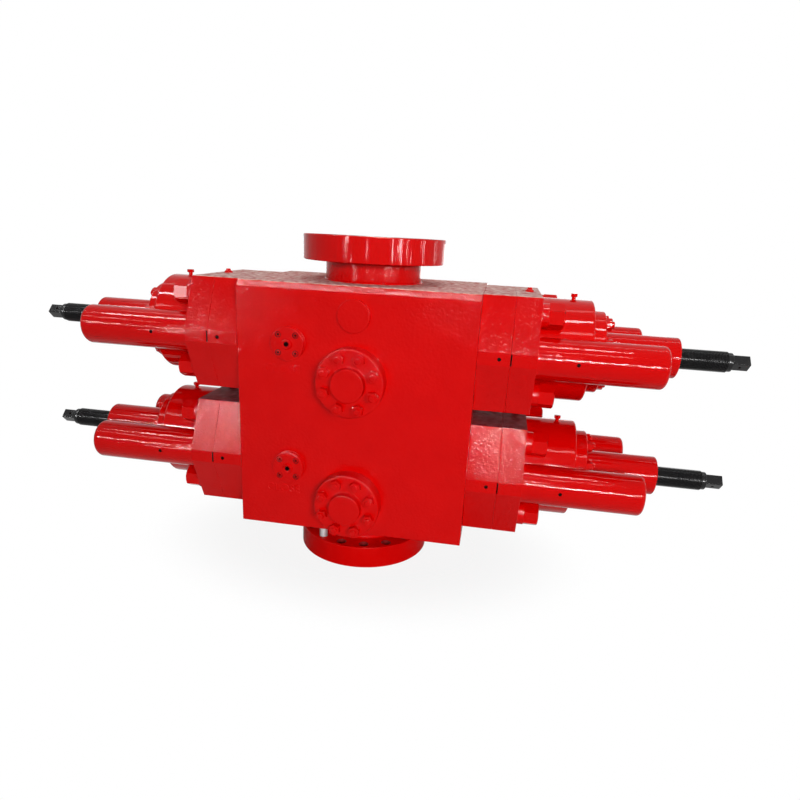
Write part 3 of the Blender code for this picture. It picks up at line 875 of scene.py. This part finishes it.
def bolts_mesh():
    """The four bonnet bolts: a long shank, a thick collar and a hexagon head."""
    seat = BONNET_FACE + 0.0001
    collar = BONNET_FACE + BOLT_COLLAR_THICK
    tip = BODY_HALF_X - BOLT_GRIP
    band = [(0, seat), (BOLT_COLLAR_RADIUS, seat), (BOLT_COLLAR_RADIUS, collar, 0.003), (0, collar)]
    shapes = []
    steel = []
    for centre in bolt_centres():
        shapes.append(turned(rounded(band), "x", centre))
        shapes.append(hexagon(BOLT_HEAD_FLATS, collar - 0.0005, BOLT_END, "x", centre))
        steel.append(rod(BOLT_SHANK_RADIUS, "x", tip, BONNET_FACE, centre, SMALL, chamfer=0.003))
    mesh = mesh_of("bolts", together(*shapes, *steel), enamel_turned)
    paint(mesh, machined, lambda centre, normal: centre.x < BONNET_FACE)
    return smooth(mesh)


def hollowed(name, corners, start, end):
    """A turned casting, hollowed where the two ram-change cylinders pass."""
    ends = (start - REACH, end + REACH)
    radius = CHANGE_RADIUS + HOLLOW_CLEARANCE
    cutters = [rod(radius, "x", *ends, (y, 0.0), LARGE) for y in (-CHANGE_Y, CHANGE_Y)]
    shape = turned(rounded(corners, closed=True), "x", sides=LARGE)
    return smooth(carved(name, shape, enamel_turned, [("DIFFERENCE", together(*cutters), enamel_turned)]))


def drum_mesh():
    """The drum of the operating cylinder."""
    bore = TAIL_ROD_RADIUS + TAIL_CLEARANCE
    corners = [
        (bore, DRUM_START),
        (DRUM_RADIUS, DRUM_START),
        (DRUM_RADIUS, DRUM_END, 0.010),
        (bore, DRUM_END),
    ]
    return hollowed("drum", corners, DRUM_START, DRUM_END)


def tube_mesh():
    """The cylinder's head and the tube of the locking screw."""
    bore = SCREW_RADIUS + 0.0008
    mouth = 0.006
    corners = [
        (bore, HEAD_START),
        (HEAD_RADIUS, HEAD_START),
        (HEAD_RADIUS, HEAD_END, 0.006),
        (HOUSING_RADIUS, HEAD_END, 0.008),
        (HOUSING_RADIUS, HOUSING_END, 0.008),
        (bore + mouth, HOUSING_END),
        (bore, HOUSING_END - mouth),
    ]
    return hollowed("tube", corners, HEAD_START, HEAD_END)


def head_nuts_mesh():
    """The nuts and stud ends on the cylinder's head."""
    nuts = nut_ring(HEAD_NUT, HEAD_BOLTS, HEAD_BOLT_CIRCLE, "x", HEAD_END, 1)
    return smooth(mesh_of("head_nuts", nuts, enamel))


def change_cylinder_mesh():
    """A ram-change cylinder with a rounded end and a small hole in its outer side."""
    chamber_end = CHANGE_END - CHANGE_CAP
    corners = [
        (0, chamber_end),
        (CHAMBER_RADIUS, chamber_end),
        (CHAMBER_RADIUS, DRUM_START),
        (CHANGE_RADIUS, DRUM_START),
        (CHANGE_RADIUS, CHANGE_END, CHANGE_ROUNDING),
        (0, CHANGE_END),
    ]
    shape = turned(rounded(corners, steps=8), "x", sides=LARGE)
    ends = (CHANGE_RADIUS - SIDE_HOLE_DEEP, CHANGE_RADIUS + REACH)
    hole = rod(SIDE_HOLE_RADIUS, "y", *ends, (SIDE_HOLE_X, 0.0), SMALL)
    # The side hole is near-black, as painted shade
    mesh = carved("change_tube", shape, enamel_tube, [("DIFFERENCE", hole, recess_painted_shade)])

    def in_chamber(centre, normal):
        return math.hypot(centre.y, centre.z) < CHAMBER_RADIUS + NEAR / 2 and centre.x < chamber_end + NEAR

    paint(mesh, machined, in_chamber)
    return smooth(mesh)


def change_rod_mesh():
    """A ram-change rod with its piston and two seals."""
    foot = BODY_HALF_X + GAP
    start = PISTON_END - PISTON_LONG
    floor = PISTON_RADIUS - SEAL_DEEP
    corners = [(0, foot), (ROD_RADIUS, foot), (ROD_RADIUS, start), (PISTON_RADIUS, start, 0.002)]
    for seal in (start + 0.016, PISTON_END - 0.024):
        end = seal + SEAL_LONG
        corners += [(PISTON_RADIUS, seal), (floor, seal), (floor, end), (PISTON_RADIUS, end)]
    corners += [(PISTON_RADIUS, PISTON_END, 0.002), (0, PISTON_END)]
    return smooth(mesh_of("change_rod", turned(rounded(corners), "x"), chromed))


def pipe_notch(radius):
    """A cutter for the notch that closes on the pipe."""
    return rod(radius, "z", -CAVITY_HALF_Z - REACH, CAVITY_HALF_Z + REACH, (RAM_FACE, 0.0))


def ram_mesh():
    """A pipe ram: a steel block with a notch for the pipe, and its tail rod."""
    tail = rod(TAIL_ROD_RADIUS, "x", BODY_HALF_X - REACH, TAIL_END, chamfer=0.003)
    steps = [("DIFFERENCE", pipe_notch(PIPE_RADIUS), machined), ("UNION", tail, chromed)]
    block = prism(cavity_outline(RAM_CLEARANCE), "x", RAM_FACE, BODY_HALF_X)
    return smooth(carved("ram_block", block, machined, steps, edge=0.002))


def ram_seals_mesh():
    """The rubber packer round the pipe notch and the seal that runs over the top of the ram."""
    outline = cavity_outline(RAM_CLEARANCE - SEAL_PROUD)
    packer = prism(outline, "x", RAM_FACE + 0.012, RAM_FACE + 0.034)
    seal = prism(outline, "x", 0.400, 0.424)
    past = 0.3
    lower_half = [(-past, -past), (past, -past), (past, 0.0), (-past, 0.0)]
    below = prism(lower_half, "x", 0.39, 0.43)
    steps = [("DIFFERENCE", below, rubber), ("DIFFERENCE", pipe_notch(PIPE_RADIUS - SEAL_PROUD), rubber)]
    return smooth(carved("ram_seals", together(packer, seal), rubber, steps))


def screw_meshes():
    """The locking screw: a core with a thread and a ring, and a square end that stands on its corner."""
    ring_end = SCREW_END - SQUARE_LONG
    ring_start = ring_end - SCREW_RING_LONG
    band = [(0, ring_start - 0.0005), (SCREW_RING_RADIUS, ring_start - 0.0005, 0.0015),
            (SCREW_RING_RADIUS, ring_end, 0.004), (0, ring_end)]
    sides = ((1, 1), (-1, 1), (-1, -1), (1, -1))
    square = rounded([(a * SQUARE_HALF, b * SQUARE_HALF, SQUARE_CORNER) for a, b in sides], True)
    hole = rod(CROSS_HOLE_RADIUS, "y", -0.05, 0.05, (SCREW_END - 0.040, 0.0), SMALL)
    # The cross hole is near-black, as painted shade
    head = carved("square_end", prism(square, "x", ring_end - 0.004, SCREW_END), blackened,
                  [("DIFFERENCE", hole, recess_painted_shade)], edge=0.003)
    head.transform(Matrix.Rotation(math.radians(45), 4, "X"))
    parts = [
        rod(SCREW_RADIUS, "x", SCREW_START, THREAD_START, chamfer=0.003),
        rod(SCREW_RADIUS - 0.0035, "x", THREAD_START - 0.002, ring_start),
        threaded(SCREW_RADIUS, THREAD_PITCH, THREAD_START, ring_start, "x"),
        turned(rounded(band), "x"),
    ]
    return smooth(mesh_of("screw", together(*parts), blackened), degrees=40), smooth(head)


def dome_mesh(radius, high):
    """A round plug with a stepped, domed top, along Z from its seat."""
    corners = [(0, -NEAR), (radius, -NEAR), (radius, 0.35 * high, 0.001), (0.62 * radius, 0.6 * high, 0.001),
               (0.5 * radius, high, 0.003), (0, high)]
    return smooth(mesh_of("dome_plug", turned(rounded(corners), "z", sides=SMALL), enamel))


def vent_bolt_mesh():
    """A headed bolt that stands on the drum, along Z from its seat."""
    shank = rod(radius=0.0095, axis="z", low=-0.002, high=0.014, sides=SMALL)
    head = hexagon(flats=0.029, low=0.012, high=0.027, axis="z", low_chamfer=True)
    return smooth(mesh_of("vent_bolt", together(shank, head), enamel))


def seat_mesh():
    """A thin machined face on the body's end, where the intermediate flange seats."""
    outline = [(0.985 * y, 0.985 * z) for y, z in plate_outline()]
    start = BODY_HALF_X + 0.00008
    ends = (start - REACH, start + REACH)
    cutters = [prism(cavity_outline(-NEAR), "x", *ends)]
    cutters += [rod(BOLT_HOLE_RADIUS + NEAR, "x", *ends, centre, SMALL) for centre in bolt_centres()]
    steps = [("DIFFERENCE", together(*cutters), machined)]
    return carved("seat", prism(outline, "x", start, start + 0.00014), machined, steps)


def make_bonnets():
    """Every bonnet, its rams, rods, cylinders and screw, placed from one set of shapes."""
    thread, square = screw_meshes()
    # Name, mesh, body, node that it stands for, slot and whether flat faces stay flat
    shared = [
        ("bolts", bolts_mesh(), "bonnet_group", "bonnet", "red_enamel", True),
        ("drum", drum_mesh(), "bonnet_group", "operating_cylinder", "red_enamel", True),
        ("tube", tube_mesh(), "bonnet_group", "screw_housing", "red_enamel", True),
        ("head_nuts", head_nuts_mesh(), "bonnet_group", "screw_housing", "red_enamel", True),
        ("ram_block", ram_mesh(), "bonnet_group", "ram", "ram_steel", True),
        ("ram_seals", ram_seals_mesh(), "bonnet_group", "ram", "ram_steel", False),
        ("thread", thread, "screw_group", "locking_screw", "screw_steel", False),
        ("square_end", square, "screw_group", "locking_screw", "screw_steel", True),
    ]
    change_tube = change_cylinder_mesh()
    change_rod = change_rod_mesh()
    dome = dome_mesh(DOME_RADIUS, DOME_HIGH)
    vent = vent_bolt_mesh()
    seat = seat_mesh()
    on_top = Matrix.Translation((DOME_X, 0.0, OUTLINE_HALF_HIGH))
    on_drum = Matrix.Translation((VENT_X, 0.0, DRUM_RADIUS))
    # Upper bonnets' tops get dust with painted sheen, lower ones a darker red as painted shade under the
    # upper bonnets
    for level, top in zip(LEVELS, (dust_and_painted_sheen, lower_top_painted_shade)):
        plates = [
            ("inner_plate", inner_plate_mesh(top), "bonnet_group", "middle_flange", "red_enamel", True),
            ("bonnet_plate", bonnet_plate_mesh(top), "bonnet_group", "bonnet", "red_enamel", True),
        ]
        for side, turn in SIDES:
            label = level + "_" + side
            place = Matrix.Translation((0, 0, RAM_LEVEL[level])) @ Matrix.Rotation(turn, 4, "Z")
            for name, mesh, body, node, slot, flat in plates + shared:
                piece(f"{name}_{label}", mesh, f"{body}_{label}", [f"{node}_{label}"], place, flat)
            group = "bonnet_group_" + label
            piece("dome_plug_" + label, dome, group, place=place @ on_top)
            piece("vent_bolt_" + label, vent, group, place=place @ on_drum)
            piece("seat_" + label, seat, "stack", place=place)
            for way in (-1, 1):
                across = Matrix.Translation((0, way * CHANGE_Y, 0))
                facing = Matrix.Rotation(0.0 if way > 0 else math.pi, 4, "X")
                spot = place @ across @ facing
                name = label + "_" + ("back" if way * math.cos(turn) > 0 else "front")
                cylinder = "change_cylinder_" + name
                piece("change_tube_" + name, change_tube, group, [cylinder], place=spot, weighted=True)
                piece("polished_rod_" + name, change_rod, "stack", ["change_rod_" + name], spot)


def make_loose_stud():
    """A bright stud left standing in one of the bottom flange's holes."""
    centre = around(STUD_CIRCLE_RADIUS, turns_of(STUD_HOLES, 0.5)[LOOSE_STUD_HOLE])
    core_radius = LOOSE_STUD_RADIUS - 0.0015
    core = rod(core_radius, "z", low=0.0005, high=0.163, centre=centre, sides=SMALL, chamfer=0.002)
    thread = threaded(LOOSE_STUD_RADIUS, pitch=0.0045, low=0.004, high=0.160, axis="z", centre=centre,
                      depth=0.0025, steps=24)
    mesh = smooth(mesh_of("loose_stud", together(core, thread), zinc), degrees=40)
    piece("loose_stud", mesh, "stack")


def mixed(nodes, links, factor, first, second):
    """Two shaders mixed by a factor output."""
    mix = nodes.new("ShaderNodeMixShader")
    links.new(factor, mix.inputs["Fac"])
    links.new(first, mix.inputs[1])
    links.new(second, mix.inputs[2])
    return mix.outputs["Shader"]


def added(nodes, links, first, second):
    """The sum of two outputs, at most 1."""
    step = nodes.new("ShaderNodeMath")
    step.operation = "ADD"
    step.use_clamp = True
    links.new(first, step.inputs[0])
    links.new(second, step.inputs[1])
    return step.outputs["Value"]


def make_floor():
    """A pale floor that fades out, so that only the soft shadow shows."""
    half, low, high = 9, -0.011, -0.001
    corners = [(-half, -half), (half, -half), (half, half), (-half, half)]
    floor = object_of("floor", mesh_of("floor", prism(corners, "z", low, high)))
    made, nodes, links, shader = new_material("floor")
    shader.inputs["Base Color"].default_value = (0.50, 0.50, 0.50, 1.0)
    shader.inputs["Roughness"].default_value = 1.0
    shader.inputs["Specular IOR Level"].default_value = 0.0
    seen = nodes.new("ShaderNodeLightPath").outputs["Is Camera Ray"]
    pale = nodes.new("ShaderNodeEmission").outputs["Emission"]
    pale_share = ranged(nodes, links, seen, low=0.0, high=0.88, start=0.0, end=1.0)
    shown = mixed(nodes, links, pale_share, shader.outputs["BSDF"], pale)
    shape = nodes.new("ShaderNodeMapping")
    shape.inputs["Scale"].default_value = (0.9, 1.3, 0.0)
    links.new(nodes.new("ShaderNodeTexCoord").outputs["Object"], shape.inputs["Vector"])
    length = nodes.new("ShaderNodeVectorMath")
    length.operation = "LENGTH"
    links.new(shape.outputs["Vector"], length.inputs[0])
    fade = ranged(nodes, links, length.outputs["Value"], 0.0, 1.0, start=0.35, end=1.15, kind="SMOOTHSTEP")
    clear = nodes.new("ShaderNodeBsdfTransparent").outputs["BSDF"]
    links.new(mixed(nodes, links, fade, shown, clear), nodes["Material Output"].inputs["Surface"])
    floor.data.materials.append(made)


def make_world(level):
    """Even light from all round, seen as white behind the object and in its reflections."""
    world = bpy.data.worlds.new("world")
    bpy.context.scene.world = world
    world.use_nodes = True
    nodes = world.node_tree.nodes
    links = world.node_tree.links
    background = nodes["Background"]
    path = nodes.new("ShaderNodeLightPath").outputs
    seen = added(nodes, links, path["Is Camera Ray"], path["Is Glossy Ray"])
    seen = added(nodes, links, seen, path["Is Transmission Ray"])
    strength = ranged(nodes, links, seen, level, 1.0, start=0.0, end=1.0)
    links.new(strength, background.inputs["Strength"])
    background.inputs["Color"].default_value = (1.0, 1.0, 1.0, 1.0)


def make_light(name, place, target, size, brightness, card):
    """A flat lamp turned to a target. A card shows only in reflections, and the other lamps never do."""
    lamp = bpy.data.lights.new(name, "AREA")
    lamp.shape = "RECTANGLE"
    lamp.size, lamp.size_y = size
    lamp.energy = brightness * math.pi * size[0] * size[1]
    thing = object_of(name, lamp)
    way = (Vector(target) - Vector(place)).to_track_quat("-Z", "Y")
    thing.matrix_world = Matrix.Translation(place) @ way.to_matrix().to_4x4()
    thing.visible_camera = False
    thing.visible_diffuse = not card
    thing.visible_glossy = card


def make_lights():
    """Soft lamps in front, above and behind, and bright cards whose reflections run along the enamel."""
    centre = (0.0, 0.0, 0.8)
    # Name, place, target, size and brightness
    lamps = (
        ("key", (2.6, -6.8, 2.7), centre, (3.0, 1.4), 32.0),
        ("top", (0.0, 0.6, 6.0), centre, (4.0, 3.0), 2.2),
        ("behind", (-1.2, 7.0, 2.0), centre, (4.0, 1.6), 11.0),
    )
    cards = (
        ("bar_right", (2.2, -6.4, 2.4), (1.1, -0.4, 0.8), (2.2, 0.50), 190.0),
        ("bar_slant_right", (0.95, -6.4, 4.7), (0.75, -0.3, 0.6), (0.9, 0.16), 600.0),
        ("bar_left", (-5.2, -6.0, 2.9), (-1.1, -0.4, 0.8), (2.4, 0.24), 190.0),
        ("bar_slant_left", (-3.7, -6.0, 4.4), (-0.75, -0.3, 0.6), (0.9, 0.16), 500.0),
        ("bar_behind", (0.0, 6.3, 1.0), centre, (6.0, 1.0), 2.0),
        ("window_low", (-3.9, -6.0, 0.69), (-0.9, -0.3, 1.3), (0.7, 0.4), 60.0),
        ("ceiling_strip", (-1.1, -1.15, 5.3), (-1.1, -1.15, 0.0), (6.2, 0.4), 90.0),
        ("ceiling_behind", (0.0, 1.15, 5.3), (0.0, 1.15, 0.0), (8.0, 0.4), 6.0),
        ("lamp_near_right", (1.4, -2.0, 3.2), (1.0, -0.2, 0.7), (0.75, 0.22), 22.0),
        ("lamp_near_left", (-3.0, -2.0, 3.2), (-1.0, -0.2, 0.7), (1.10, 0.22), 22.0),
    )
    for row in lamps:
        make_light(*row, False)
    for row in cards:
        make_light(*row, True)
    # Angle round the well, width and brightness of the upright cards
    uprights = ((-31, 0.45, 90), (1, 0.2, 60), (38, 0.2, 90), (47, 0.15, 90), (53, 0.3, 90), (63, 0.2, 90),
                (92, 0.25, 40), (121, 0.25, 12))
    away, up, high = 6.0, 1.55, 0.65
    for turn, wide, bright in uprights:
        way = math.radians(turn)
        spot = (away * math.sin(way), -away * math.cos(way), up)
        make_light(f"upright_{turn}", spot, (0.0, 0.0, 1.5), (wide, high), bright, True)


def make_camera():
    """The camera of the photo: eye level with the top flange, a little to the right."""
    yaw, pitch, roll = -0.1535, 0.3227, 0.0518
    eye = Vector((0.6149, -2.9907, 1.6019))
    forward = Vector((math.sin(yaw) * math.cos(pitch), math.cos(yaw) * math.cos(pitch), -math.sin(pitch)))
    level = Vector((math.cos(yaw), -math.sin(yaw), 0.0))
    upward = level.cross(forward)
    right = level * math.cos(roll) + upward * math.sin(roll)
    up = upward * math.cos(roll) - level * math.sin(roll)
    view = bpy.data.cameras.new("camera")
    view.sensor_width = 36.0
    view.lens = 27.468
    view.shift_x = 0.00445
    view.shift_y = 0.048525
    camera = object_of("camera", view)
    camera.matrix_world = Matrix.Translation(eye) @ Matrix((right, up, -forward)).transposed().to_4x4()
    bpy.context.scene.camera = camera


make_end_flange("bottom", 0.0, 1, BODY_FOOT - GAP)
make_end_flange("top", HEIGHT, -1, BODY_TOP + GAP)
make_weld_bead("weld_bead_bottom", BODY_FOOT - FINE_EDGE)
make_weld_bead("weld_bead_top", BODY_TOP + FINE_EDGE)
make_body()
make_outlets()
make_ports()
make_plug()
for word_level in LEVELS:
    word_place = (-PORT_X - WORD_ASIDE, -BODY_HALF_Y, RAM_LEVEL[word_level] - WORD_BELOW)
    make_word("word_close_" + word_level, "CLOSE", word_place)
make_bonnets()
make_loose_stud()
make_floor()
make_world(0.20)
make_lights()
make_camera()
bpy.context.scene.view_settings.view_transform = "Standard"
